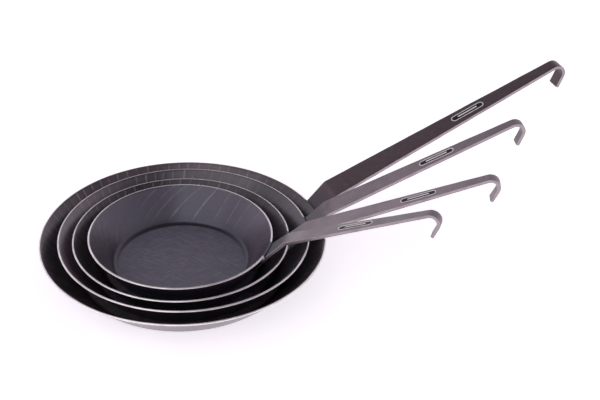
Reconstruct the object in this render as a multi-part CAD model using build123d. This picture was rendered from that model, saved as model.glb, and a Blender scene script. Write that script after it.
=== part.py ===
from build123d import *
from dataclasses import dataclass
from math import atan2, cos, degrees, radians, sin, sqrt, tan
import os

# A nest of four forged-iron frying pans, largest underneath. Each pan is a dished bowl, a flat
# tapered bar handle with a hook at its end, and the weld beads that fix the handle to the bowl.
# The origin is on the largest pan's axis, at its flat underside, and +Z is up. Millimetres.

# The iron that every pan is made of
sheet = 2.3          # bowl thickness
bar = 3.8            # handle thickness
bead = 2.4           # radius of a weld bead
bead_start = 1.2     # where the side beads start, measured down the wall from the rim

# The bowls
base_ratio = 0.735   # radius where the underside's line meets the wall's line, over the rim radius
floor_corner = 6.0   # radius inside the bowl between floor and wall
rim_round = 0.7      # rounding of both corners of the rim's edge
nest_gap = 0.3       # air under each nested pan, which is free to lift and slide

# The handles
tongue = 26.0        # length of handle lying on the outside of the wall, measured down from the rim
tongue_seat = 0.8    # how deep the tongue's end is let towards the wall, so that it fits the curve
root_bend = 10.0     # inner radius of the slight bend at the rim
neck_bend = 5.0      # inner radius of the bend where the handle levels out
hook_bore = 7.4      # inner radius of the hook
hook_turn = 136.0    # degrees that the bar turns through in the hook
hook_tail = 14.5     # straight end after the hook
bar_room = 400.0     # tall enough to hold any handle when its plan shape is cut


@dataclass
class Pan:
    name: str         # nominal size
    rim: float        # radius of the rim's outer edge
    wall: float       # height of the rim's outer edge above the underside
    place: tuple      # where the pan's axis stands in the nest
    turn: float       # direction of the handle, in degrees from +X
    neck: tuple       # from the rim's outer edge to the neck bend: outwards, upwards
    rise: float       # slope of the handle's long run, in degrees
    reach: float      # from the pan's axis to where the hook starts
    widths: tuple     # handle width at the rim, at the neck and at the hook


pans = [
    Pan("32cm", 158.8, 39.2, (0.0, 0.0), 23.8, (20.2, 20.0), 19.2, 457.9, (34.5, 32.9, 15.4)),
    Pan("28cm", 139.5, 39.8, (1.2, 0.0), 11.0, (21.2, 19.0), 22.5, 369.1, (25.2, 25.2, 11.3)),
    Pan("24cm", 120.4, 36.2, (-1.8, 0.0), -0.7, (17.4, 14.9), 18.9, 334.3, (26.1, 24.1, 12.0)),
    Pan("20cm", 102.5, 37.5, (-2.4, 0.0), -16.1, (19.0, 19.2), 21.8, 277.0, (27.8, 20.9, 11.3)),
]


def base_radius(pan):
    return base_ratio * pan.rim


def wall_slope(pan):
    return atan2(pan.wall, pan.rim - base_radius(pan))


def bowl(pan):
    """One sheet of even thickness: flat floor, rounded corner, straight flared wall."""
    slope = wall_slope(pan)
    outside = FilletPolyline((0, 0), (base_radius(pan), 0), (pan.rim, pan.wall),
                             radius=floor_corner + sheet)
    inside = FilletPolyline((0, sheet), (base_radius(pan) - sheet * tan(slope / 2), sheet),
                            (pan.rim - sheet * sin(slope), pan.wall + sheet * cos(slope)),
                            radius=floor_corner)
    rim_edge = Line(outside @ 1, inside @ 1)
    section = make_face([*outside.edges(), rim_edge, *inside.edges(), Line(inside @ 0, outside @ 0)])
    section = fillet(section.vertices().sort_by(Axis.Y)[-2:], rim_round)
    return revolve(Plane.XZ * section, Axis.Z)


def handle_line(pan):
    """The bar's upper face seen from the side: up the wall, over the neck, along, round the hook."""
    slope = wall_slope(pan)
    rise = radians(pan.rise)
    hook = hook_bore + bar
    edge = Vector(pan.rim, pan.wall)
    start = edge - tongue * Vector(cos(slope), sin(slope)) + tongue_seat * Vector(-sin(slope), cos(slope))
    neck = edge + Vector(*pan.neck)
    along = Vector(cos(rise), sin(rise))
    to_hook = (pan.reach - neck.X) / along.X
    corner_run = hook * tan(radians(hook_turn) / 2)
    corner = neck + along * (to_hook + corner_run)
    back = Vector(cos(rise - radians(hook_turn)), sin(rise - radians(hook_turn)))
    end = corner + back * (corner_run + hook_tail)
    return FilletPolyline(start, edge, neck, corner, end,
                          radius=[root_bend + bar, neck_bend + bar, hook])


def plan_shape(pan):
    """Outline of the handle seen from above, along +X."""
    at_rim, at_neck, at_hook = (width / 2 for width in pan.widths)
    foot = pan.rim - 2 * tongue
    neck = pan.rim + pan.neck[0]
    tip = pan.reach + 2 * (hook_bore + bar)
    side = [(foot, at_rim), (pan.rim, at_rim), (neck, at_neck), (pan.reach, at_hook), (tip, at_hook)]
    return make_face(Polyline(*side, *((x, -y) for x, y in reversed(side)), close=True))


def handle(pan, pan_bowl):
    upper = handle_line(pan)
    side_view = make_face(offset(upper, bar, side=Side.RIGHT))
    strip = extrude(Plane.XZ * side_view, pan.widths[0], both=True)
    shape = extrude(plan_shape(pan), bar_room)
    return (strip & shape) - pan_bowl


def weld_beads(pan, pan_bowl, pan_handle):
    """Beads down both sides of the tongue and across its end, each its own solid."""
    slope = wall_slope(pan)
    half = pan.widths[0] / 2

    def on_wall(down, across):
        radius = pan.rim - down * cos(slope)
        return Vector(sqrt(radius**2 - across**2), across, pan.wall - down * sin(slope))

    corners = [on_wall(bead_start, half), on_wall(tongue, half), on_wall(tongue, -half), on_wall(bead_start, -half)]
    beads = []
    for start, end in zip(corners, corners[1:]):
        run = end - start
        rod = Plane(start, z_dir=run) * Cylinder(bead, run.length, align=(Align.CENTER, Align.CENTER, Align.MIN))
        rod = rod - pan_bowl - pan_handle
        for other in beads:
            rod = rod - other
        beads.append(rod.solids().sort_by(SortBy.VOLUME)[-1])
    return Compound(beads)


os.makedirs("parts", exist_ok=True)
for level, pan in enumerate(pans):
    pan_bowl = bowl(pan)
    pan_handle = handle(pan, pan_bowl)
    pan_beads = weld_beads(pan, pan_bowl, pan_handle)
    stand = Pos(*pan.place, level * (sheet + nest_gap))
    swing = Rot(0, 0, pan.turn)
    export_step(stand * pan_bowl, f"parts/bowl_{pan.name}.step")
    export_step(stand * swing * pan_handle, f"parts/handle_{pan.name}.step")
    export_step(stand * swing * pan_beads, f"parts/weld_beads_{pan.name}.step")
    print(pan.name, "wall slope", round(degrees(wall_slope(pan)), 1),
          "overall length", round(pan.rim + pan_handle.bounding_box().max.X, 1))
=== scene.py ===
import bisect
import math
import random

import bmesh
import bpy
from mathutils import Matrix, Vector, noise


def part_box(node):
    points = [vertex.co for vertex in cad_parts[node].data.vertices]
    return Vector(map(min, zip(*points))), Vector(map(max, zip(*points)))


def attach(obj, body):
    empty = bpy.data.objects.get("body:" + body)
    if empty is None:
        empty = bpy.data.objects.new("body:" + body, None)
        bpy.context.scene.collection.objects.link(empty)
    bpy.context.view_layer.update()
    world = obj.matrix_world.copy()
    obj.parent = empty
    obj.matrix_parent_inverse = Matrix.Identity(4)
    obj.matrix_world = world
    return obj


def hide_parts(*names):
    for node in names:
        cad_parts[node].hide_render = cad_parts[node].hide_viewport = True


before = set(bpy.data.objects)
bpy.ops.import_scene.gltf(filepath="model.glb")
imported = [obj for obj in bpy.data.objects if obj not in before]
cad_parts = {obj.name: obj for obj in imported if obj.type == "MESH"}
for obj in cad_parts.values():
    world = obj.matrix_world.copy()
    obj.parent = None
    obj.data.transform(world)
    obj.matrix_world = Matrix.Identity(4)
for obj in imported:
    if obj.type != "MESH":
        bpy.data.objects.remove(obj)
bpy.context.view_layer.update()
mm = 0.001

# What sets the four skillets apart, in millimetres and degrees. Handle widths are at rim, neck and hook.
skillets = {
    "32cm": {"rim": 158.8, "wall": 39.2, "turn": 23.8, "neck": (20.2, 20.0), "rise": 19.2, "reach": 457.9,
             "widths": (34.5, 32.9, 15.4)},
    "28cm": {"rim": 139.5, "wall": 39.8, "turn": 11.0, "neck": (21.2, 19.0), "rise": 22.5, "reach": 369.1,
             "widths": (25.2, 25.2, 11.3)},
    "24cm": {"rim": 120.4, "wall": 36.2, "turn": -0.7, "neck": (17.4, 14.9), "rise": 18.9, "reach": 334.3,
             "widths": (26.1, 24.1, 12.0)},
    "20cm": {"rim": 102.5, "wall": 37.5, "turn": -16.1, "neck": (19.0, 19.2), "rise": 21.8, "reach": 277.0,
             "widths": (27.8, 20.9, 11.3)},
}


# short ways to add one node and get what it puts out; a value may be a number, a colour or another socket
def plug(tree, value, socket):
    if isinstance(value, bpy.types.NodeSocket):
        tree.links.new(value, socket)
    else:
        socket.default_value = value


def calc(tree, operation, a, b=0.0, c=0.0):
    node = tree.nodes.new("ShaderNodeMath")
    node.operation = operation
    for socket, value in zip(node.inputs, (a, b, c)):
        plug(tree, value, socket)
    return node.outputs[0]


def mixColour(tree, amount, first, second):
    node = tree.nodes.new("ShaderNodeMix")
    node.data_type = "RGBA"
    for socket, value in zip((node.inputs[0], node.inputs[6], node.inputs[7]), (amount, first, second)):
        plug(tree, value, socket)
    return node.outputs[2]


def spread(tree, value, low, high, toLow=0.0, toHigh=1.0, soft=False):
    node = tree.nodes.new("ShaderNodeMapRange")
    node.interpolation_type = "SMOOTHSTEP" if soft else "LINEAR"
    for socket, number in zip(node.inputs[:5], (value, low, high, toLow, toHigh)):
        plug(tree, number, socket)
    return node.outputs[0]


def cloudy(tree, vector, scale, detail=2.0, rough=0.5):
    node = tree.nodes.new("ShaderNodeTexNoise")
    for label, value in (("Vector", vector), ("Scale", scale), ("Detail", detail), ("Roughness", rough)):
        plug(tree, value, node.inputs[label])
    return node.outputs[0]


def moved(tree, vector, place, turn=0.0):
    # the same position as seen from a pan's own axis, with X along its handle if turned
    node = tree.nodes.new("ShaderNodeMapping")
    node.vector_type = "TEXTURE"
    node.inputs["Location"].default_value = place
    node.inputs["Rotation"].default_value = (0, 0, turn)
    plug(tree, vector, node.inputs["Vector"])
    return node.outputs[0]


def scaledColour(tree, colour, amount):
    node = tree.nodes.new("ShaderNodeVectorMath")
    node.operation = "SCALE"
    tree.links.new(colour, node.inputs[0])
    tree.links.new(amount, node.inputs["Scale"])
    return node.outputs[0]


def splitPosition(tree, vector):
    node = tree.nodes.new("ShaderNodeSeparateXYZ")
    tree.links.new(vector, node.inputs[0])
    return node.outputs


def newGroup(name, inputs, outputs):
    tree = bpy.data.node_groups.new(name, "ShaderNodeTree")
    for label, kind, value in inputs:
        socket = tree.interface.new_socket(label, in_out="INPUT", socket_type="NodeSocket" + kind)
        socket.default_value = value
    for label, kind in outputs:
        tree.interface.new_socket(label, in_out="OUTPUT", socket_type="NodeSocket" + kind)
    return tree, tree.nodes.new("NodeGroupInput").outputs, tree.nodes.new("NodeGroupOutput").inputs


def useGroup(tree, group, **values):
    node = tree.nodes.new("ShaderNodeGroup")
    node.node_tree = group
    for label, value in values.items():
        plug(tree, value, node.inputs[label])
    return node.outputs


def tone(*shown):
    # red, green and blue as a paint program shows them, turned into the linear values that a shader takes
    linear = [c / 255 / 12.92 if c < 11 else ((c / 255 + 0.055) / 1.055) ** 2.4 for c in shown]
    return (*linear, 1)


def makeForgeScale():
    # cloudy oxide: two tones in soft patches, darker flecks and a fine grain
    tree, get, out = newGroup("forgeScale", [
        ("Vector", "Vector", (0, 0, 0)), ("Main", "Color", tone(80, 78, 88)),
        ("Cloud", "Color", tone(70, 60, 70)), ("Fleck", "Color", tone(30, 28, 30)),
        ("CloudScale", "Float", 14.0), ("Grain", "Float", 0.12), ("Gloss", "Float", 0.45)],
        [("Color", "Color"), ("Roughness", "Float"), ("Height", "Float")])
    cloud = spread(tree, cloudy(tree, get["Vector"], get["CloudScale"], 3.0, 0.6), 0.38, 0.64, soft=True)
    fleck = spread(tree, cloudy(tree, get["Vector"], 420.0, 4.0, 0.65), 0.56, 0.74)
    grain = cloudy(tree, get["Vector"], 1400.0, 2.0, 0.6)
    colour = mixColour(tree, cloud, get["Main"], get["Cloud"])
    colour = mixColour(tree, calc(tree, "MULTIPLY", fleck, 0.4), colour, get["Fleck"])
    shade = calc(tree, "MULTIPLY_ADD", calc(tree, "SUBTRACT", grain, 0.5),
                 calc(tree, "MULTIPLY", get["Grain"], 4.0), 1.0)
    tree.links.new(scaledColour(tree, colour, shade), out["Color"])
    tree.links.new(calc(tree, "MULTIPLY_ADD", fleck, 0.12, get["Gloss"]), out["Roughness"])
    tree.links.new(calc(tree, "MULTIPLY_ADD", fleck, -0.6, calc(tree, "MULTIPLY", grain, 0.4)), out["Height"])
    return tree


def makePressMarks():
    # ridges between neighbouring press marks: the map counts marks round the wall and runs 0 to 1 down it
    tree, get, out = newGroup("pressMarks", [
        ("Map", "Vector", (0, 0, 0)), ("Vector", "Vector", (0, 0, 0)), ("Count", "Float", 80.0),
        ("Apart", "Float", 0.012), ("Width", "Float", 0.001), ("Seed", "Float", 0.0)],
        [("Ridge", "Float"), ("Shade", "Float")])
    across, down = splitPosition(tree, get["Map"])[:2]

    def dice(number):
        # one random number for each mark or ridge, the same all along it
        roll = tree.nodes.new("ShaderNodeTexWhiteNoise")
        roll.noise_dimensions = "1D"
        wrapped = calc(tree, "WRAP", number, get["Count"], 0.0)
        tree.links.new(calc(tree, "ADD", wrapped, get["Seed"]), roll.inputs["W"])
        return roll.outputs[0]

    fromMiddle = calc(tree, "ABSOLUTE", calc(tree, "SUBTRACT", calc(tree, "FRACT", across), 0.5))
    gap = calc(tree, "SUBTRACT", 0.5, fromMiddle)
    line = spread(tree, calc(tree, "MULTIPLY", gap, get["Apart"]), get["Width"], 0.0, soft=True)
    strength = spread(tree, dice(calc(tree, "ROUND", across)), 0.0, 0.9, 0.25, 0.85)
    broken = spread(tree, cloudy(tree, get["Vector"], 110.0, 2.0), 0.3, 0.56)
    ends = calc(tree, "MULTIPLY", spread(tree, down, 1.0, 0.8, soft=True), spread(tree, down, 0.0, 0.03))
    ridge = calc(tree, "MULTIPLY", calc(tree, "MULTIPLY", line, strength),
                 calc(tree, "MULTIPLY", broken, ends))
    tree.links.new(ridge, out["Ridge"])
    tree.links.new(calc(tree, "MULTIPLY", dice(calc(tree, "FLOOR", across)), ends), out["Shade"])
    return tree


def makeFineStrokes():
    # short fine scratches along one direction, as a blasting or brushing step leaves them
    tree, get, out = newGroup("fineStrokes", [
        ("Vector", "Vector", (0, 0, 0)), ("Turn", "Float", 0.0),
        ("Pitch", "Float", 900.0), ("Long", "Float", 90.0)], [("Mask", "Float")])
    turned = tree.nodes.new("ShaderNodeVectorRotate")
    turned.rotation_type = "Z_AXIS"
    tree.links.new(get["Vector"], turned.inputs["Vector"])
    tree.links.new(get["Turn"], turned.inputs["Angle"])
    size = tree.nodes.new("ShaderNodeCombineXYZ")
    for socket, value in zip(size.inputs, (get["Long"], get["Pitch"], get["Pitch"])):
        tree.links.new(value, socket)
    stretched = tree.nodes.new("ShaderNodeVectorMath")
    stretched.operation = "MULTIPLY"
    tree.links.new(turned.outputs[0], stretched.inputs[0])
    tree.links.new(size.outputs[0], stretched.inputs[1])
    tree.links.new(cloudy(tree, stretched.outputs[0], 1.0, 2.0, 0.55), out["Mask"])
    return tree


def makeHeatTint():
    # rings of temper colour round a point: straw outside, then violet, then blue
    tree, get, out = newGroup("heatTint", [
        ("Vector", "Vector", (0, 0, 0)), ("Color", "Color", tone(80, 78, 88)),
        ("Centre", "Vector", (0, 0, 0)), ("Reach", "Float", 0.03), ("Amount", "Float", 0.6)],
        [("Color", "Color"), ("Mask", "Float")])
    wander = 0.008  # how far the rings wander in and out
    gap = tree.nodes.new("ShaderNodeVectorMath")
    gap.operation = "DISTANCE"
    tree.links.new(get["Vector"], gap.inputs[0])
    tree.links.new(get["Centre"], gap.inputs[1])
    patches = cloudy(tree, get["Vector"], 90.0, 3.0)
    ragged = calc(tree, "MULTIPLY_ADD", patches, 2 * wander, gap.outputs[1])
    near = calc(tree, "DIVIDE", calc(tree, "SUBTRACT", ragged, wander), get["Reach"])
    ramp = tree.nodes.new("ShaderNodeValToRGB")
    stops = [(0.0, tone(34, 37, 50)), (0.4, tone(38, 40, 54)),
             (0.62, tone(50, 38, 50)), (0.85, tone(62, 56, 52))]
    while len(ramp.color_ramp.elements) < len(stops):
        ramp.color_ramp.elements.new(0.5)
    for element, (place, colour) in zip(ramp.color_ramp.elements, stops):
        element.position = place
        element.color = colour
    tree.links.new(near, ramp.inputs[0])
    amount = calc(tree, "MULTIPLY", spread(tree, near, 1.0, 0.45, soft=True), get["Amount"])
    tree.links.new(mixColour(tree, amount, get["Color"], ramp.outputs[0]), out["Color"])
    tree.links.new(amount, out["Mask"])
    return tree


def makeGroundStreaks():
    # bare iron, ground bright: fine streaks and a few dull patches
    tree, get, out = newGroup("groundStreaks", [
        ("Vector", "Vector", (0, 0, 0)), ("Bright", "Color", tone(170, 160, 162)),
        ("Dull", "Color", tone(136, 127, 130))],
        [("Color", "Color"), ("Roughness", "Float"), ("Height", "Float")])
    streaks = cloudy(tree, get["Vector"], 600.0, 3.0, 0.6)
    patches = spread(tree, cloudy(tree, get["Vector"], 70.0, 3.0), 0.45, 0.7)
    mixed = mixColour(tree, calc(tree, "MULTIPLY", patches, 0.6), get["Bright"], get["Dull"])
    mixed = mixColour(tree, spread(tree, streaks, 0.35, 0.7, 0.0, 0.35), mixed, get["Dull"])
    tree.links.new(mixed, out["Color"])
    tree.links.new(spread(tree, streaks, 0.3, 0.7, 0.28, 0.46), out["Roughness"])
    tree.links.new(streaks, out["Height"])
    return tree


forgeScale = makeForgeScale()
pressMarks = makePressMarks()
fineStrokes = makeFineStrokes()
heatTint = makeHeatTint()
groundStreaks = makeGroundStreaks()
print("shared effects ready")


ironScaleIor = 1.75


def newFinish(name, metal, ior=1.5):
    material = bpy.data.materials.new(name)
    material.use_nodes = True
    tree = material.node_tree
    shader = tree.nodes["Principled BSDF"]
    shader.inputs["Metallic"].default_value = metal
    shader.inputs["IOR"].default_value = ior
    position = tree.nodes.new("ShaderNodeTexCoord").outputs["Object"]
    return material, tree, shader, position


def roughen(tree, shader, height, strength, distance):
    bump = tree.nodes.new("ShaderNodeBump")
    bump.inputs["Strength"].default_value = strength
    bump.inputs["Distance"].default_value = distance
    tree.links.new(height, bump.inputs["Height"])
    tree.links.new(bump.outputs[0], shader.inputs["Normal"])


# Tones of the blued scale at the back and of the floor, and tones painted on each side of the wall as painted
# light and shade. The press ridges show most on the side that showTowards gives in degrees, and by the part
# elsewhere on the other side; that one-sided brightening is a painted highlight.
bowlLooks = {
    "32cm": {"main": (96, 83, 90), "cloud": (66, 57, 63), "left": (24, 18, 24), "right": (56, 52, 58),
             "sheen": (245, 234, 242), "floor": (72, 66, 74), "ridge": (172, 158, 165), "ridgeShow": 0.8,
             "showTowards": 105, "elsewhere": 0.5, "seed": 5.0},
    "28cm": {"main": (58, 47, 55), "cloud": (40, 41, 48), "left": (90, 75, 85), "right": (60, 56, 64),
             "sheen": (250, 244, 252), "floor": (72, 68, 78), "ridge": (158, 146, 154), "ridgeShow": 0.7,
             "showTowards": 125, "elsewhere": 0.3, "seed": 31.0},
    "24cm": {"main": (36, 30, 37), "cloud": (30, 27, 34), "left": (40, 32, 42), "right": (44, 41, 49),
             "sheen": (204, 196, 208), "floor": (74, 71, 82), "ridge": (150, 140, 150), "ridgeShow": 0.7,
             "showTowards": 110, "elsewhere": 0.3, "seed": 12.0},
    "20cm": {"main": (47, 46, 56), "cloud": (58, 47, 60), "left": (64, 54, 66), "right": (88, 75, 90),
             "sheen": (228, 230, 250), "floor": (94, 90, 104), "ridge": (142, 142, 154), "ridgeShow": 0.6,
             "showTowards": 75, "elsewhere": 0.12, "seed": 77.0},
}

# What the four bowls' iron has in common. Lengths are in metres; sideLighting (where the painted light and
# shade of each side starts and is full), ridgeHighlit (where the ridges' painted highlight fades in) and
# midWall are parts of the rim's radius, and the corner's painted shade lies from cornerShadeFrom to
# cornerShadeTo outside the floor.
bowlFinish = {
    "fleck": (18, 15, 19), "cloudScale": 13.0, "grain": 0.10, "gloss": 0.30, "sideLighting": (0.35, 0.9),
    "pressed": (78, 70, 76), "pressedShow": 0.35, "ridgeWidth": 0.0012, "midWall": 0.9, "ridgeHighlit": (0.45, 0.75),
    # corner is the colour of the painted shade between floor and wall
    "ridgeGloss": 0.06, "corner": (22, 20, 25), "cornerShadeShow": 0.5, "cornerShadeFrom": 0.004, "cornerShadeTo": 0.012,
    "brushed": (136, 131, 146), "brushedShow": 0.6, "brushes": [(-28, 700.0, 80.0), (35, 620.0, 70.0)],
    "floorEdge": 0.001, "floorDull": 0.3, "heatReach": 0.036, "heat": 0.55, "heatDrop": 0.006,
    "bump": 0.35, "bumpDeep": 0.0002,
}


def bowlIron(size, centre, floorRadius):
    look, finish, count = bowlLooks[size], bowlFinish, pressing[size]["count"]
    rim, wall = skillets[size]["rim"] * mm, skillets[size]["wall"] * mm
    material, tree, shader, position = newFinish("bowlIron" + size, 0.0, ironScaleIor)
    shader.inputs["Specular Tint"].default_value = tone(*look["sheen"])
    local = moved(tree, position, centre)
    scale = useGroup(tree, forgeScale, Vector=local, Main=tone(*look["main"]), Cloud=tone(*look["cloud"]),
                     Fleck=tone(*finish["fleck"]), CloudScale=finish["cloudScale"], Grain=finish["grain"],
                     Gloss=finish["gloss"])
    pressMap = tree.nodes.new("ShaderNodeUVMap")
    pressMap.uv_map = "pressMap"
    press = useGroup(tree, pressMarks, Map=pressMap.outputs[0], Vector=local, Count=float(count),
                     Apart=2 * math.pi * rim * finish["midWall"] / count, Width=finish["ridgeWidth"],
                     Seed=look["seed"])
    x, y = splitPosition(tree, local)[:2]
    colour = scale["Color"]
    # painted light and shade: each side of the wall takes its own tone, lighter or darker as the light falls
    # there
    starts, full = (rim * part for part in finish["sideLighting"])
    for side, label in ((-1, "left"), (1, "right")):
        sideLighting = spread(tree, x, side * starts, side * full, soft=True)
        colour = mixColour(tree, sideLighting, colour, tone(*look[label]))
    pressed = calc(tree, "MULTIPLY", press["Shade"], finish["pressedShow"])
    colour = mixColour(tree, pressed, colour, tone(*finish["pressed"]))
    # the ridges are painted lighter, partly as real wear and partly as a painted highlight that shows most on
    # one side of the wall
    towards = math.radians(look["showTowards"])
    facing = calc(tree, "MULTIPLY_ADD", x, math.cos(towards), calc(tree, "MULTIPLY", y, math.sin(towards)))
    starts, full = (rim * part for part in finish["ridgeHighlit"])
    clear = spread(tree, facing, starts, full, look["elsewhere"], 1.0, soft=True)
    shown = calc(tree, "MULTIPLY", calc(tree, "MULTIPLY", press["Ridge"], look["ridgeShow"]), clear)
    colour = mixColour(tree, shown, colour, tone(*look["ridge"]))
    radius = calc(tree, "SQRT", calc(tree, "MULTIPLY_ADD", x, x, calc(tree, "MULTIPLY", y, y)))
    # painted shade: the colour darkens in the corner between floor and wall
    corner = spread(tree, radius, floorRadius + finish["cornerShadeTo"], floorRadius + finish["cornerShadeFrom"],
                    0.0, finish["cornerShadeShow"], soft=True)
    colour = mixColour(tree, corner, colour, tone(*finish["corner"]))
    onFloor = spread(tree, radius, floorRadius, floorRadius - finish["floorEdge"])
    colour = mixColour(tree, onFloor, colour, tone(*look["floor"]))
    # the floor is brushed one way and then across
    oneWay, across = (useGroup(tree, fineStrokes, Vector=local, Turn=math.radians(turn), Pitch=pitch,
                               Long=long)["Mask"] for turn, pitch, long in finish["brushes"])
    brushed = calc(tree, "MULTIPLY", spread(tree, calc(tree, "MAXIMUM", oneWay, across), 0.5, 0.8), onFloor)
    brushedPart = calc(tree, "MULTIPLY", brushed, finish["brushedShow"])
    colour = mixColour(tree, brushedPart, colour, tone(*finish["brushed"]))
    turn = math.radians(skillets[size]["turn"])
    root = (rim * math.cos(turn), rim * math.sin(turn), wall - finish["heatDrop"])
    tinted = useGroup(tree, heatTint, Vector=local, Color=colour, Centre=root, Reach=finish["heatReach"],
                      Amount=finish["heat"])
    tree.links.new(tinted["Color"], shader.inputs["Base Color"])
    rough = calc(tree, "MULTIPLY_ADD", onFloor, finish["floorDull"], scale["Roughness"])
    rough = calc(tree, "MULTIPLY_ADD", press["Ridge"], -finish["ridgeGloss"], rough)
    tree.links.new(rough, shader.inputs["Roughness"])
    height = calc(tree, "ADD", press["Ridge"], calc(tree, "MULTIPLY_ADD", brushed, 0.5, scale["Height"]))
    roughen(tree, shader, height, finish["bump"], finish["bumpDeep"])
    return material


def groundIron(name, bright, dull, metal=0.9):
    material, tree, shader, position = newFinish(name, metal)
    ground = useGroup(tree, groundStreaks, Vector=position, Bright=tone(*bright), Dull=tone(*dull))
    tree.links.new(ground["Color"], shader.inputs["Base Color"])
    tree.links.new(ground["Roughness"], shader.inputs["Roughness"])
    roughen(tree, shader, ground["Height"], 0.3, 0.0001)
    return material


handleLooks = {
    "32cm": {"main": (43, 28, 33), "cloud": (33, 24, 27), "sheen": (255, 226, 240), "heat": 0.75},
    "28cm": {"main": (114, 99, 109), "cloud": (96, 86, 91), "sheen": (255, 250, 255), "heat": 0.7},
    "24cm": {"main": (132, 115, 127), "cloud": (114, 101, 109), "sheen": (255, 250, 255), "heat": 0.4},
    "20cm": {"main": (122, 109, 117), "cloud": (102, 91, 97), "sheen": (255, 250, 255), "heat": 0.9},
}

# what the four handles' iron has in common; a painted highlight makes it a little paler near the neck than
# near the hook
handleFinish = {
    "fleck": (26, 22, 25), "cloudScale": 22.0, "grain": 0.12, "gloss": 0.36, "streak": (104, 97, 102),
    "streakShow": 0.25, "streakPitch": 520.0, "streakLong": 24.0, "paintedLightNeck": 1.35, "paintedLightHook": 0.8,
    "heatReach": 0.042, "heatDull": 0.25, "heatDrop": 2, "bump": 0.3, "bumpDeep": 0.0002,
}


def handleIron(size, centre):
    look, finish, shape = handleLooks[size], handleFinish, skillets[size]
    material, tree, shader, position = newFinish("handleIron" + size, 0.0, ironScaleIor)
    shader.inputs["Specular Tint"].default_value = tone(*look["sheen"])
    local = moved(tree, position, centre, math.radians(shape["turn"]))
    scale = useGroup(tree, forgeScale, Vector=local, Main=tone(*look["main"]), Cloud=tone(*look["cloud"]),
                     Fleck=tone(*finish["fleck"]), CloudScale=finish["cloudScale"], Grain=finish["grain"],
                     Gloss=finish["gloss"])
    streaks = useGroup(tree, fineStrokes, Vector=local, Turn=0.0, Pitch=finish["streakPitch"],
                       Long=finish["streakLong"])["Mask"]
    streakPart = spread(tree, streaks, 0.5, 0.8, 0.0, finish["streakShow"])
    colour = mixColour(tree, streakPart, scale["Color"], tone(*finish["streak"]))
    along = splitPosition(tree, local)[0]
    neck, hook = (shape["rim"] + shape["neck"][0]) * mm, shape["reach"] * mm
    # painted highlight: the colour is scaled lighter near the neck and darker towards the hook
    colour = scaledColour(tree, colour, spread(tree, along, neck, hook, finish["paintedLightNeck"], finish["paintedLightHook"]))
    root = (shape["rim"] * mm, 0.0, (shape["wall"] - finish["heatDrop"]) * mm)
    tinted = useGroup(tree, heatTint, Vector=local, Color=colour, Centre=root, Reach=finish["heatReach"],
                      Amount=look["heat"])
    tree.links.new(tinted["Color"], shader.inputs["Base Color"])
    rough = calc(tree, "MULTIPLY_ADD", tinted["Mask"], finish["heatDull"], scale["Roughness"])
    tree.links.new(rough, shader.inputs["Roughness"])
    height = calc(tree, "MULTIPLY_ADD", streaks, 0.8, scale["Height"])
    roughen(tree, shader, height, finish["bump"], finish["bumpDeep"])
    return material


groundRim = groundIron("groundRim", (250, 244, 246), (206, 198, 202))
groundEdge = groundIron("groundEdge", (170, 160, 162), (136, 127, 130))
panelField = groundIron("panelField", (52, 44, 48), (34, 29, 32))
panelBright = groundIron("panelBright", (232, 227, 229), (200, 194, 197), metal=0.1)


def makeWeldMetal():
    # dull where the flame has been over it; painted bright near the rim, partly as bead ends ground flush and
    # partly as a painted highlight
    material, tree, shader, position = newFinish("weldMetal", 0.6)
    dressedAndHighlit = tree.nodes.new("ShaderNodeAttribute")
    dressedAndHighlit.attribute_name = "dressedAndHighlit"
    patches = spread(tree, cloudy(tree, position, 260.0, 3.0), 0.35, 0.65)
    dull = mixColour(tree, patches, tone(44, 42, 48), tone(72, 66, 70))
    bright = tone(228, 224, 226)
    tree.links.new(mixColour(tree, dressedAndHighlit.outputs["Fac"], dull, bright), shader.inputs["Base Color"])
    tree.links.new(spread(tree, patches, 0.0, 1.0, 0.34, 0.5), shader.inputs["Roughness"])
    roughen(tree, shader, cloudy(tree, position, 900.0, 3.0), 0.4, 0.0002)
    return material


weldMetal = makeWeldMetal()
print("finishes ready")


# the slight ripple of a hammered wall starts above its foot and grows over rippleOver
bowlShape = {"sheet": 2.3, "baseRatio": 0.735, "corner": 6.0, "cornerSteps": 6, "rimRound": 0.7,
             "rimSteps": 3, "groundWidth": 0.7, "around": 720, "wallCuts": 15, "ripple": 0.15,
             "rippleSize": 38.0, "rippleFrom": 6.0, "rippleOver": 20.0, "shallowest": 0.4, "markEnds": 8.0}

# press marks round each wall: how many, how deep, how unevenly spaced, and how many degrees they lean on
# their way down the wall, at least and in a broad sweep that starts at sweepFrom
pressing = {
    "32cm": {"count": 80, "deep": 0.14, "uneven": 0.25,
             "lean": 1.0, "sweep": 1.5, "sweepFrom": 40, "sweepOver": 60},
    "28cm": {"count": 74, "deep": 0.14, "uneven": 0.25,
             "lean": 1.5, "sweep": 2.0, "sweepFrom": 20, "sweepOver": 60},
    "24cm": {"count": 66, "deep": 0.12, "uneven": 0.30,
             "lean": 2.0, "sweep": 3.0, "sweepFrom": 30, "sweepOver": 60},
    "20cm": {"count": 37, "deep": 0.10, "uneven": 0.35,
             "lean": 5.0, "sweep": 31.0, "sweepFrom": 48, "sweepOver": 48},
}


def pressLean(marks, bearing):
    # grows over the sweep and eases back over the rest of the circle
    past, over = (bearing - marks["sweepFrom"]) % 360, marks["sweepOver"]
    t = past / over if past < over else (360 - past) / (360 - over)
    return marks["lean"] + marks["sweep"] * t * t * (3 - 2 * t)


def pressStarts(marks, seed):
    dice = random.Random(seed)
    step = 360 / marks["count"]
    return [(n + marks["uneven"] * (dice.random() - 0.5)) * step for n in range(marks["count"])]


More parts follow.
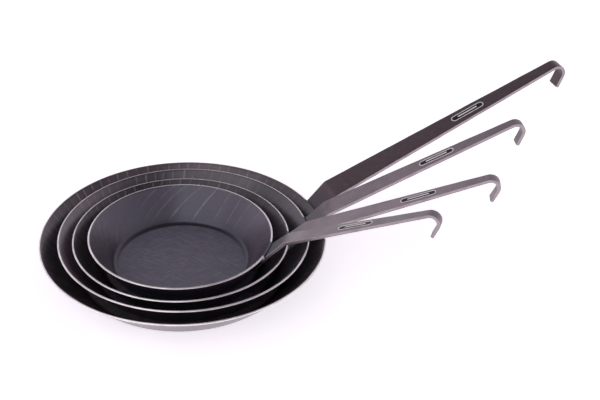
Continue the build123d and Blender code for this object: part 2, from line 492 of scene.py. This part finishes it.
def pressNumber(marks, starts, bearing, down):
    # follows a mark's lean back up to the rim, then counts marks from the first one
    tries, step = 30, 0.6
    top = bearing
    for _ in range(tries):
        top += step * (bearing - pressLean(marks, top) * down - top)
    top = (top - starts[0]) % 360 + starts[0]
    number = bisect.bisect_right(starts, top) - 1
    after = starts[number + 1] if number + 1 < len(starts) else starts[0] + 360
    return number + (top - starts[number]) / (after - starts[number])


def wallSlope(shape):
    return math.atan2(shape["wall"], shape["rim"] * (1 - bowlShape["baseRatio"]))


def bowlPlace(size):
    low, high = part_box("bowl_" + size)
    return Vector(((low.x + high.x) / 2, (low.y + high.y) / 2, low.z))


def handlePlace(size):
    # from a handle's own millimetres, with X along it, to where it stands in the nest
    turn = Matrix.Rotation(math.radians(skillets[size]["turn"]), 4, "Z")
    return Matrix.Translation(bowlPlace(size)) @ turn @ Matrix.Scale(mm, 4)


def finishPiece(bm, name, size, materials, node):
    mesh = bpy.data.meshes.new(name)
    bm.to_mesh(mesh)
    bm.free()
    for material in materials:
        mesh.materials.append(material)
    piece = bpy.data.objects.new(name, mesh)
    bpy.context.scene.collection.objects.link(piece)
    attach(piece, "pan_" + size)
    if node:
        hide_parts(node)
    return piece


def roundRing(bm, radius, z, offset, segments):
    # rounds one circular edge of a bowl, found by its radius and height
    def onRing(v):
        return abs(math.hypot(v.co.x, v.co.y) - radius) < 1e-3 and abs(v.co.z - z) < 1e-3

    ring = [e for e in bm.edges if all(onRing(v) for v in e.verts)]
    bmesh.ops.bevel(bm, geom=ring, offset=offset, offset_type="OFFSET", segments=segments, profile=0.5,
                    affect="EDGES", material=-1)


def buildBowl(size):
    shape, marks, slope = skillets[size], pressing[size], wallSlope(skillets[size])
    sheet, rim, wall, rimRound = bowlShape["sheet"], shape["rim"], shape["wall"], bowlShape["rimRound"]
    foot = rim * bowlShape["baseRatio"]
    innerFoot = foot - sheet * math.tan(slope / 2)
    innerRim = (rim - sheet * math.sin(slope), wall + sheet * math.cos(slope))
    outline = [(0, 0), (foot, 0), (rim, wall), innerRim, (innerFoot, sheet), (0, sheet)]
    bm = bmesh.new()
    verts = [bm.verts.new((r, 0, z)) for r, z in outline]
    edges = [bm.edges.new(pair) for pair in zip(verts, verts[1:])]
    bmesh.ops.spin(bm, geom=verts + edges, cent=(0, 0, 0), axis=(0, 0, 1), angle=2 * math.pi,
                   steps=bowlShape["around"], use_merge=True)
    bmesh.ops.remove_doubles(bm, verts=bm.verts[:], dist=1e-4)
    bmesh.ops.recalc_face_normals(bm, faces=bm.faces[:])
    corner = bowlShape["corner"] * math.tan(slope / 2)
    roundRing(bm, foot, 0, corner + sheet * math.tan(slope / 2), bowlShape["cornerSteps"])
    roundRing(bm, innerFoot, sheet, corner, bowlShape["cornerSteps"])
    roundRing(bm, rim, wall, rimRound, bowlShape["rimSteps"])
    roundRing(bm, innerRim[0], innerRim[1], rimRound, bowlShape["rimSteps"])
    # the wall's long edges are cut, so that it can take its ripple and its press marks
    upright = [e for e in bm.edges if abs(e.verts[0].co.z - e.verts[1].co.z) > wall / 5]
    bmesh.ops.subdivide_edges(bm, edges=upright, cuts=bowlShape["wallCuts"], use_grid_fill=True)
    starts = pressStarts(marks, size)
    wallTop, wallFoot = innerRim[0] - rimRound * math.cos(slope), innerFoot + corner * math.cos(slope)
    out = Vector((math.sin(slope), 0, -math.cos(slope)))
    numbers, downs = {}, {}
    for v in bm.verts:
        radius, bearing = math.hypot(v.co.x, v.co.y), math.degrees(math.atan2(v.co.y, v.co.x))
        inside = (radius - rim) * out.x + (v.co.z - wall) * out.z < -sheet / 2
        down = (wallTop - radius) / (wallTop - wallFoot) if inside else -1.0
        number = pressNumber(marks, starts, bearing, max(0.0, min(1.0, down))) if inside else 0.0
        numbers[v], downs[v] = number, down
        lift = max(0.0, min(1.0, (v.co.z - bowlShape["rippleFrom"]) / bowlShape["rippleOver"]))
        ripple = noise.noise(Vector((v.co.x, v.co.y, rim)) / bowlShape["rippleSize"])
        shift = lift * bowlShape["ripple"] * ripple
        if 0 < down < 1:
            # each press mark is a shallow hollow between two ridges, fading out at its ends
            part, dice = number % 1, random.Random(size + str(int(number)))
            depth = dice.uniform(bowlShape["shallowest"], 1.0)
            ends = min(1.0, bowlShape["markEnds"] * down, bowlShape["markEnds"] * (1 - down))
            shift += marks["deep"] * depth * 4 * part * (1 - part) * ends
        v.co += Matrix.Rotation(math.radians(bearing), 3, "Z") @ out * shift
    pressMap = bm.loops.layers.uv.new("pressMap")
    turn = math.radians(shape["turn"])
    for face in bm.faces:
        # the rim is ground bright, except where the handle comes over it
        middle = face.calc_center_median()
        across = middle.y * math.cos(turn) - middle.x * math.sin(turn)
        towards = middle.x * math.cos(turn) + middle.y * math.sin(turn)
        atRoot = abs(across) < shape["widths"][0] / 2 and towards > 0
        climb = (math.hypot(middle.x, middle.y) - rim) * math.cos(slope) + (middle.z - wall) * math.sin(slope)
        face.material_index = 1 if climb > -bowlShape["groundWidth"] and not atRoot else 0
        face.smooth = True
        first = numbers[face.verts[0]]
        for loop in face.loops:
            # a face that spans the last mark and the first one keeps counting up
            number = numbers[loop.vert]
            number += marks["count"] * round((first - number) / marks["count"])
            loop[pressMap].uv = (number, downs[loop.vert])
    centre = bowlPlace(size)
    place = Matrix.Translation(centre) @ Matrix.Scale(mm, 4)
    bmesh.ops.transform(bm, matrix=place, verts=bm.verts[:])
    iron = bowlIron(size, centre, (innerFoot - corner) * mm)
    return finishPiece(bm, "skilletBowl" + size, size, [iron, groundRim], "bowl_" + size)


# the bar in millimetres and degrees, then how finely it is cut, then how uneven the hammer left it
barShape = {"thick": 3.8, "tongue": 26.0, "rootBend": 10.0, "neckBend": 5.0, "hookBore": 7.4,
            "hookTurn": 136.0, "tail": 14.5, "edge": 0.55, "edgeSteps": 3,
            "across": 6, "runPiece": 4.5, "bendPiece": 7.0,
            "wave": 0.16, "waveSize": 19.0, "swayLength": 31.0, "waveFrom": 20.0, "dishFrom": 4.0}


def turnBetween(before, after):
    return before.x * after.z - before.z * after.x


def runPath(bm, corners, radii):
    # straight runs are extruded from the last vertex, and each bend is that vertex spun round its centre
    last = bm.verts.new(corners[0])
    headings = [(b - a).normalized() for a, b in zip(corners, corners[1:])]
    spare = 0.0
    for number, heading in enumerate(headings):
        run = (corners[number + 1] - corners[number]).length - spare
        bend = radii[number] if number < len(radii) else 0.0
        if bend:
            turn = math.acos(max(-1.0, min(1.0, heading.dot(headings[number + 1]))))
            side = 1 if turnBetween(heading, headings[number + 1]) < 0 else -1
            spare = bend * math.tan(turn / 2)
            run -= spare
        pieces = max(1, round(run / barShape["runPiece"]))
        for _ in range(pieces):
            last = bmesh.ops.extrude_vert_indiv(bm, verts=[last])["verts"][0]
            last.co += heading * (run / pieces)
        if bend:
            centre = last.co + side * bend * Vector((heading.z, 0, -heading.x))
            spun = bmesh.ops.spin(bm, geom=[last], cent=centre, axis=(0, 1, 0), angle=side * turn,
                                  steps=max(3, round(math.degrees(turn) / barShape["bendPiece"])))
            last = [g for g in spun["geom_last"] if isinstance(g, bmesh.types.BMVert)][0]


def halfWidth(shape, x):
    # of a handle at a distance from its pan's axis
    atRim, paintedLightNeck, paintedLightHook = (w / 2 for w in shape["widths"])
    neck = shape["rim"] + shape["neck"][0]
    if x <= shape["rim"]:
        return atRim
    if x <= neck:
        return atRim + (paintedLightNeck - atRim) * (x - shape["rim"]) / (neck - shape["rim"])
    return paintedLightNeck + (paintedLightHook - paintedLightNeck) * min(1.0, (x - neck) / (shape["reach"] - neck))


def buildHandle(size):
    shape = skillets[size]
    slope, rise, thick = wallSlope(shape), math.radians(shape["rise"]), barShape["thick"]
    hook = barShape["hookBore"] + thick
    edge = Vector((shape["rim"], 0, shape["wall"]))
    start = edge - barShape["tongue"] * Vector((math.cos(slope), 0, math.sin(slope)))
    neck = edge + Vector((shape["neck"][0], 0, shape["neck"][1]))
    along = Vector((math.cos(rise), 0, math.sin(rise)))
    turn = math.radians(barShape["hookTurn"])
    spare = hook * math.tan(turn / 2)
    corner = neck + along * ((shape["reach"] - neck.x) / along.x + spare)
    end = corner + Vector((math.cos(rise - turn), 0, math.sin(rise - turn))) * (spare + barShape["tail"])
    bends = [barShape["rootBend"] + thick, barShape["neckBend"] + thick, hook]
    # the upper face first, from -1 to 1 across; it is then spread to the handle's width and thickened
    bm = bmesh.new()
    runPath(bm, [start, edge, neck, corner, end], bends)
    bmesh.ops.translate(bm, vec=(0, -1, 0), verts=bm.verts[:])
    swept = bmesh.ops.extrude_edge_only(bm, edges=bm.edges[:])
    farSide = [g for g in swept["geom"] if isinstance(g, bmesh.types.BMVert)]
    bmesh.ops.translate(bm, vec=(0, 2, 0), verts=farSide)
    cross = [e for e in bm.edges if abs(e.verts[0].co.y - e.verts[1].co.y) > 1.5]
    bmesh.ops.subdivide_edges(bm, edges=cross, cuts=barShape["across"] - 1, use_grid_fill=True)
    for v in bm.verts:
        v.co.y *= halfWidth(shape, v.co.x)
    bmesh.ops.recalc_face_normals(bm, faces=bm.faces[:])
    topmost = max(bm.faces, key=lambda f: f.calc_center_median().z)
    if topmost.normal.z < 0:
        bmesh.ops.reverse_faces(bm, faces=bm.faces[:])
    bmesh.ops.solidify(bm, geom=bm.faces[:], thickness=thick)
    bmesh.ops.recalc_face_normals(bm, faces=bm.faces[:])
    sharp = [e for e in bm.edges if len(e.link_faces) == 2 and e.calc_face_angle(0) > math.radians(60)]
    bmesh.ops.bevel(bm, geom=sharp, offset=barShape["edge"], offset_type="OFFSET",
                    segments=barShape["edgeSteps"], profile=0.5, affect="EDGES", material=-1)
    for face in bm.faces:
        onSide = abs(face.normal.y) > 0.35
        face.material_index = 1 if onSide else 0
        face.smooth = True
    # hammered iron: slightly uneven in height and to the sides; the tongue is dished to the wall
    for v in bm.verts:
        wave = noise.noise(Vector((v.co.x, v.co.y * 0.6, v.co.z + shape["rim"])) / barShape["waveSize"])
        free = max(0.0, min(1.0, (v.co.x - shape["rim"]) / barShape["waveFrom"]))
        v.co.z += wave * barShape["wave"] * free
        sway = noise.noise(Vector((v.co.x / barShape["swayLength"], 9, shape["rim"])))
        v.co.y += sway * barShape["wave"] * free
        below = max(0.0, min(1.0, (shape["rim"] - v.co.x) / barShape["dishFrom"]))
        v.co.x -= v.co.y ** 2 / (2 * shape["rim"]) * below
    bmesh.ops.transform(bm, matrix=handlePlace(size), verts=bm.verts[:])
    finishes = [handleIron(size, bowlPlace(size)), groundEdge]
    piece = finishPiece(bm, "skilletHandle" + size, size, finishes, "handle_" + size)
    piece.modifiers.new("evenShading", "WEIGHTED_NORMAL")
    return piece


# bite is how deep a bead may reach into the bowl's sheet, dressedAndHighlit how far down its end is painted
# bright, partly as metal ground flush and partly as a painted highlight
weldShape = {"bead": 2.4, "start": 1.2, "pitch": 1.7, "ripple": 0.22, "around": 14,
             "dressedAndHighlit": 7.0, "bite": 1.0}


def buildBead(bm, start, end):
    # a rippled bead with round ends, spun round its own length; finished beads are tagged
    length = (end - start).length
    count = max(4, round(length / weldShape["pitch"]))
    stations = []
    for number in range(4 * count + 1):
        t = number / (4 * count)
        swell = weldShape["bead"] - weldShape["ripple"] * (1 - abs(math.sin(math.pi * count * t)))
        cap = min(t, 1 - t) * length / weldShape["bead"]
        swell *= math.sqrt(max(0.0, 1 - (1 - min(1.0, cap)) ** 2))
        stations.append((swell, t * length))
    verts = [bm.verts.new((r, 0, z)) for r, z in stations]
    edges = [bm.edges.new(pair) for pair in zip(verts, verts[1:])]
    bmesh.ops.spin(bm, geom=verts + edges, cent=(0, 0, 0), axis=(0, 0, 1), angle=2 * math.pi,
                   steps=weldShape["around"], use_merge=True)
    bmesh.ops.remove_doubles(bm, verts=[v for v in bm.verts if not v.tag], dist=1e-4)
    fresh = [v for v in bm.verts if not v.tag]
    aim = (end - start).to_track_quat("Z", "Y").to_matrix().to_4x4()
    bmesh.ops.transform(bm, matrix=Matrix.Translation(start) @ aim, verts=fresh)
    for v in fresh:
        v.tag = True


def buildWelds(size):
    shape = skillets[size]
    slope, half = wallSlope(shape), shape["widths"][0] / 2

    def onWall(down, across):
        radius = shape["rim"] - down * math.cos(slope)
        return Vector((math.sqrt(radius ** 2 - across ** 2), across, shape["wall"] - down * math.sin(slope)))

    top, foot = weldShape["start"], barShape["tongue"]
    bm = bmesh.new()
    corners = [onWall(top, half), onWall(foot, half), onWall(foot, -half), onWall(top, -half)]
    for start, end in zip(corners, corners[1:]):
        buildBead(bm, start, end)
    bmesh.ops.recalc_face_normals(bm, faces=bm.faces[:])
    dressedAndHighlit = bm.verts.layers.float.new("dressedAndHighlit")
    for v in bm.verts:
        # no bead shows through to the inside: its back lies within the sheet
        radius = math.hypot(v.co.x, v.co.y)
        depth = (shape["wall"] - v.co.z) * math.cos(slope) - (shape["rim"] - radius) * math.sin(slope)
        push = max(0.0, -weldShape["bite"] - depth)
        sideways = push * math.sin(slope) / radius
        v.co += Vector((sideways * v.co.x, sideways * v.co.y, -push * math.cos(slope)))
        # painted bright near the rim: partly a ground bead end, partly a painted highlight
        v[dressedAndHighlit] = max(0.0, min(1.0, 1 - (shape["wall"] - v.co.z) / weldShape["dressedAndHighlit"]))
    for face in bm.faces:
        face.smooth = True
    bmesh.ops.transform(bm, matrix=handlePlace(size), verts=bm.verts[:])
    return finishPiece(bm, "skilletWelds" + size, size, [weldMetal], "weld_beads_" + size)


# a raised panel on each handle with one plain bar along it: its middle from the neck bend, length and width
panels = {
    "32cm": {"at": 182.0, "long": 42.0, "wide": 9.6},
    "28cm": {"at": 134.5, "long": 42.0, "wide": 8.8},
    "24cm": {"at": 129.5, "long": 41.0, "wide": 8.6},
    "20cm": {"at": 83.5, "long": 41.0, "wide": 8.4},
}
# heights from the handle's face, the ring's width and easing, and the bar's share of the panel's length
panelShape = {"sunk": -0.6, "field": 0.14, "ring": 0.42, "band": 1.15, "ease": 0.14, "around": 42,
              "barLong": 0.62, "barHalf": 1.35, "barTaper": 0.8, "barTall": 0.3, "barAround": 26}


def buildPanel(size):
    # each long round shape is a circle, turned a little so that no corner lies on its middle and pulled apart
    shape, panel = skillets[size], panels[size]
    sunk = Matrix.Translation((0, 0, panelShape["sunk"])) @ Matrix.Rotation(0.05, 4, "Z")
    bm = bmesh.new()
    bmesh.ops.create_circle(bm, cap_ends=True, radius=panel["wide"] / 2, segments=panelShape["around"],
                            matrix=sunk)
    for v in bm.verts:
        v.co.x += math.copysign((panel["long"] - panel["wide"]) / 2, v.co.x)
    raised = bmesh.ops.extrude_face_region(bm, geom=bm.faces[:])
    tops = [g for g in raised["geom"] if isinstance(g, bmesh.types.BMFace)]
    bmesh.ops.translate(bm, vec=(0, 0, panelShape["field"] - panelShape["sunk"]), verts=list(tops[0].verts))
    band = bmesh.ops.inset_region(bm, faces=tops, thickness=panelShape["band"])["faces"]
    raised = bmesh.ops.extrude_face_region(bm, geom=band)
    ringTop = [g for g in raised["geom"] if isinstance(g, bmesh.types.BMVert)]
    bmesh.ops.translate(bm, vec=(0, 0, panelShape["ring"] - panelShape["field"]), verts=ringTop)
    bmesh.ops.delete(bm, geom=[f for f in band if f.is_valid], context="FACES_ONLY")
    bmesh.ops.remove_doubles(bm, verts=bm.verts[:], dist=1e-5)
    bmesh.ops.recalc_face_normals(bm, faces=bm.faces[:])
    upper = [e for e in bm.edges if all(v.co.z > panelShape["ring"] - 0.01 for v in e.verts)]
    crisp = [e for e in upper if e.calc_face_angle(0) > 1]
    bmesh.ops.bevel(bm, geom=crisp, offset=panelShape["ease"], offset_type="OFFSET", segments=2, profile=0.5,
                    affect="EDGES", material=-1)
    lifted = Matrix.Translation((0, 0, panelShape["field"])) @ Matrix.Rotation(0.1, 4, "Z")
    half, tall = panelShape["barHalf"], panelShape["barTall"]
    bar = bmesh.ops.create_cone(bm, cap_ends=True, segments=panelShape["barAround"], radius1=half,
                                radius2=half * panelShape["barTaper"], depth=2 * tall, matrix=lifted)
    for v in bar["verts"]:
        v.co.x += math.copysign(panel["long"] * panelShape["barLong"] / 2 - half, v.co.x)
    for face in bm.faces:
        raisedUp = face.calc_center_median().z > panelShape["field"] + 0.02
        face.material_index = 1 if raisedUp else 0
        face.smooth = raisedUp and abs(face.normal.z) < 0.9
    rise = math.radians(shape["rise"])
    middle = Vector((shape["rim"] + shape["neck"][0], 0, shape["wall"] + shape["neck"][1]))
    middle += panel["at"] * Vector((math.cos(rise), 0, math.sin(rise)))
    place = handlePlace(size) @ Matrix.Translation(middle) @ Matrix.Rotation(-rise, 4, "Y")
    bmesh.ops.transform(bm, matrix=place, verts=bm.verts[:])
    finishes = [panelField, panelBright]
    return finishPiece(bm, "skilletPanel" + size, size, finishes, None)


for size in skillets:
    buildBowl(size)
    buildHandle(size)
    buildWelds(size)
    buildPanel(size)
    print("skillet", size, "built")


def softLight(name, place, aim, size, power):
    data = bpy.data.lights.new(name, "AREA")
    data.shape = "RECTANGLE"
    data.size, data.size_y = size
    data.energy = power
    lamp = bpy.data.objects.new(name, data)
    lamp.location = place
    lamp.rotation_euler = (Vector(aim) - Vector(place)).to_track_quat("-Z", "Y").to_euler()
    bpy.context.scene.collection.objects.link(lamp)


stage = {"floorHalf": 6.0, "floorTone": (238, 234, 240), "floorDull": 0.9, "floorGlow": 0.75}

bm = bmesh.new()
bmesh.ops.create_grid(bm, x_segments=1, y_segments=1, size=stage["floorHalf"])
mesh = bpy.data.meshes.new("paleFloor")
bm.to_mesh(mesh)
bm.free()
floor = bpy.data.objects.new("paleFloor", mesh)
bpy.context.scene.collection.objects.link(floor)
floorPaint, tree, shader, position = newFinish("floorPaint", 0.0)
shader.inputs["Base Color"].default_value = tone(*stage["floorTone"])
shader.inputs["Roughness"].default_value = stage["floorDull"]
shader.inputs["Emission Color"].default_value = tone(*stage["floorTone"])
shader.inputs["Emission Strength"].default_value = stage["floorGlow"]
mesh.materials.append(floorPaint)

# a pale backdrop all round that darkens towards the ceiling: height of a ray, then how bright it is
studio = {"tint": (255, 249, 255), "power": 1.0, "rise": [
    (0.0, 1.0), (0.25, 1.0), (0.45, 0.92), (0.55, 0.78), (0.68, 0.34), (0.8, 0.15), (1.0, 0.06)]}
world = bpy.data.worlds.new("studio")
world.use_nodes = True
tree = world.node_tree
height = tree.nodes.new("ShaderNodeSeparateXYZ")
tree.links.new(tree.nodes.new("ShaderNodeTexCoord").outputs["Generated"], height.inputs[0])
ramp = tree.nodes.new("ShaderNodeValToRGB")
while len(ramp.color_ramp.elements) < len(studio["rise"]):
    ramp.color_ramp.elements.new(0.5)
for element, (place, bright) in zip(ramp.color_ramp.elements, studio["rise"]):
    element.position = place
    element.color = [bright * c for c in tone(*studio["tint"])[:3]] + [1]
tree.links.new(height.outputs[2], ramp.inputs[0])
tree.links.new(ramp.outputs[0], tree.nodes["Background"].inputs[0])
tree.nodes["Background"].inputs[1].default_value = studio["power"]
bpy.context.scene.world = world
keyLight = {"place": (-1.05, -1.55, 2.36), "aim": (0.0, 0.0, 0.0), "size": (3.6, 2.0), "power": 23}
softLight("keyLight", **keyLight)
bpy.context.scene.view_settings.view_transform = "Standard"
print("floor, backdrop and light ready")

cameraSetup = {"place": (0.1298, -1.8203, 1.2965), "down": 33.5, "lens": 120.0}
cameraData = bpy.data.cameras.new("camera")
cameraData.lens = cameraSetup["lens"]
cameraData.sensor_width = 36.0
camera = bpy.data.objects.new("camera", cameraData)
camera.location = cameraSetup["place"]
camera.rotation_euler = (math.radians(90 - cameraSetup["down"]), 0, 0)
bpy.context.scene.collection.objects.link(camera)
bpy.context.scene.camera = camera
print("camera ready")
